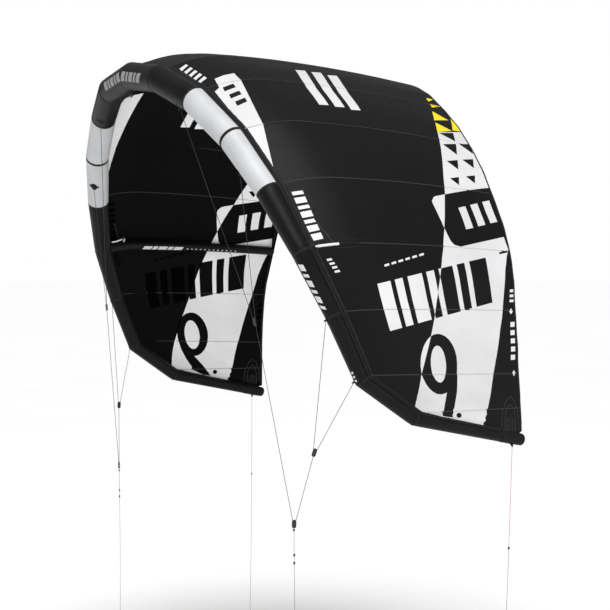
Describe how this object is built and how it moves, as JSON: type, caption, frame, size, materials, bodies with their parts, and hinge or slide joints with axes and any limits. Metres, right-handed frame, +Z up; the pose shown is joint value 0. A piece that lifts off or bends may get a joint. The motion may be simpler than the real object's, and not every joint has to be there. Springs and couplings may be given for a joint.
{
  "type": "inflatable kite",
  "caption": "Arched inflatable-tube kite with a cloth skin, three struts, rope bridle with pulleys and line ends.",
  "frame": {"origin": "centre of the leading-edge tube's axis on the plane of symmetry, where a hand or a hanger holds the kite up", "axes": "+X to the right wing along the span, +Y aft along the chord from the leading edge to the trailing edge, +Z up"},
  "size_m": [3.6492, 1.8402, 4.0571],
  "materials": {
    "le_black": "coated black polyester casing, semi-gloss",
    "le_white": "coated white polyester casing, semi-gloss",
    "canopy_black": "black ripstop skin with a soft sheen",
    "canopy_side": "white ripstop skin with black panels",
    "canopy_yellow": "yellow ripstop",
    "strut_black": "coated black polyester casing, semi-gloss",
    "bladder_film": "milky stretch film",
    "bridle_rope": "grey braided rope",
    "line_rope": "pale grey braided line with a red lead",
    "pulley_plastic": "moulded black plastic",
    "sheave_metal": "turned aluminium",
    "hose_silicone": "white silicone tube",
    "valve_plastic": "moulded dark grey plastic",
    "clip_plastic": "moulded black plastic"
  },
  "bodies": {
    "root": {"air_hose_centre": "hose_silicone", "air_hose_left": "hose_silicone", "air_hose_right": "hose_silicone", "bridle_a_left": "bridle_rope", "bridle_a_right": "bridle_rope", "bridle_b_left": "bridle_rope", "bridle_b_right": "bridle_rope", "bridle_c_left": "bridle_rope", "bridle_c_right": "bridle_rope", "canopy_centre_left": "canopy_black", "canopy_centre_right": "canopy_black", "canopy_shoulder_left": "canopy_black", "canopy_shoulder_right": "canopy_black", "canopy_side_left": "canopy_side", "canopy_side_right": "canopy_side", "canopy_tip_left": "canopy_side", "canopy_tip_right": "canopy_side", "dump_valve": "valve_plastic", "inflate_valve": "valve_plastic", "le_bladder": "bladder_film", "le_centre": "le_black", "le_outer_left": "le_black", "le_outer_right": "le_black", "le_shoulder_left": "le_white", "le_shoulder_right": "le_white", "le_side_left": "le_black", "le_side_right": "le_black", "le_tip_left": "le_black", "le_tip_right": "le_black", "pulley_a_left": "pulley_plastic", "pulley_a_right": "pulley_plastic", "pulley_b_left": "pulley_plastic", "pulley_b_right": "pulley_plastic", "pulley_c_left": "pulley_plastic", "pulley_c_right": "pulley_plastic", "strut_bladder_centre": "bladder_film", "strut_bladder_left": "bladder_film", "strut_bladder_right": "bladder_film", "strut_centre": "strut_black", "strut_left": "strut_black", "strut_right": "strut_black", "tip_cap_left": "le_black", "tip_cap_right": "le_black"},
    "sheave_a_right": {"sheave_a_right": "sheave_metal"},
    "sheave_b_right": {"sheave_b_right": "sheave_metal"},
    "sheave_c_right": {"sheave_c_right": "sheave_metal"},
    "front_line_right": {"front_line_right": "line_rope"},
    "rear_line_right": {"rear_line_right": "line_rope"},
    "sheave_a_left": {"sheave_a_left": "sheave_metal"},
    "sheave_b_left": {"sheave_b_left": "sheave_metal"},
    "sheave_c_left": {"sheave_c_left": "sheave_metal"},
    "front_line_left": {"front_line_left": "line_rope"},
    "rear_line_left": {"rear_line_left": "line_rope"},
    "inflate_valve_cap": {"inflate_valve_cap": "valve_plastic"},
    "dump_valve_cap": {"dump_valve_cap": "valve_plastic"},
    "hose_clip_centre": {"hose_clip_centre": "clip_plastic"},
    "hose_clip_right": {"hose_clip_right": "clip_plastic"},
    "hose_clip_left": {"hose_clip_left": "clip_plastic"}
  },
  "joints": [
    {"name": "sheave_a_right_spin", "type": "hinge", "parent": "root", "child": "sheave_a_right", "pos_m": [1.23, 0.26, -1.472], "axis": [-0.1754, 0.9788, 0.1054], "continuous": true},
    {"name": "sheave_b_right_spin", "type": "hinge", "parent": "root", "child": "sheave_b_right", "pos_m": [1.565, 0.472, -2.19], "axis": [-0.8211, 0.5493, 0.1551], "continuous": true},
    {"name": "sheave_c_right_spin", "type": "hinge", "parent": "root", "child": "sheave_c_right", "pos_m": [1.419, 0.415, -2.605], "axis": [-0.4602, 0.8867, 0.0449], "continuous": true},
    {"name": "front_line_right_swing", "type": "hinge", "parent": "root", "child": "front_line_right", "pos_m": [1.416, 0.41515, -2.64167], "axis": [1, 0, 0], "range_deg": [-25, 25]},
    {"name": "rear_line_right_swing", "type": "hinge", "parent": "root", "child": "rear_line_right", "pos_m": [1.79, 1.625, -2.199], "axis": [1, 0, 0], "range_deg": [-25, 25]},
    {"name": "sheave_a_left_spin", "type": "hinge", "parent": "root", "child": "sheave_a_left", "pos_m": [-1.23, 0.26, -1.472], "axis": [0.1754, 0.9788, 0.1054], "continuous": true},
    {"name": "sheave_b_left_spin", "type": "hinge", "parent": "root", "child": "sheave_b_left", "pos_m": [-1.565, 0.472, -2.19], "axis": [0.8211, 0.5493, 0.1551], "continuous": true},
    {"name": "sheave_c_left_spin", "type": "hinge", "parent": "root", "child": "sheave_c_left", "pos_m": [-1.419, 0.415, -2.605], "axis": [0.4602, 0.8867, 0.0449], "continuous": true},
    {"name": "front_line_left_swing", "type": "hinge", "parent": "root", "child": "front_line_left", "pos_m": [-1.416, 0.41515, -2.64167], "axis": [1, 0, 0], "range_deg": [-25, 25]},
    {"name": "rear_line_left_swing", "type": "hinge", "parent": "root", "child": "rear_line_left", "pos_m": [-1.79, 1.625, -2.199], "axis": [1, 0, 0], "range_deg": [-25, 25]},
    {"name": "inflate_valve_cap_hinge", "type": "hinge", "parent": "root", "child": "inflate_valve_cap", "pos_m": [0.23936, 0.07509, -0.113], "axis": [-0.9915, -0.0237, 0.1278], "range_deg": [0, 115]},
    {"name": "dump_valve_cap_hinge", "type": "hinge", "parent": "root", "child": "dump_valve_cap", "pos_m": [-0.23936, 0.07509, -0.113], "axis": [-0.9915, 0.0237, -0.1278], "range_deg": [0, 115]},
    {"name": "hose_clip_centre_lever", "type": "hinge", "parent": "root", "child": "hose_clip_centre", "pos_m": [0.08673, 0.16238, -0.01262], "axis": [-0.8084, 0.4462, -0.3838], "range_deg": [0, 45]},
    {"name": "hose_clip_right_lever", "type": "hinge", "parent": "root", "child": "hose_clip_right", "pos_m": [1.5371, 0.49066, -1.00457], "axis": [0.2374, -0.4257, 0.8732], "range_deg": [0, 45]},
    {"name": "hose_clip_left_lever", "type": "hinge", "parent": "root", "child": "hose_clip_left", "pos_m": [-1.5371, 0.49066, -1.00457], "axis": [0.2374, 0.4257, -0.8732], "range_deg": [0, 45]}
  ]
}
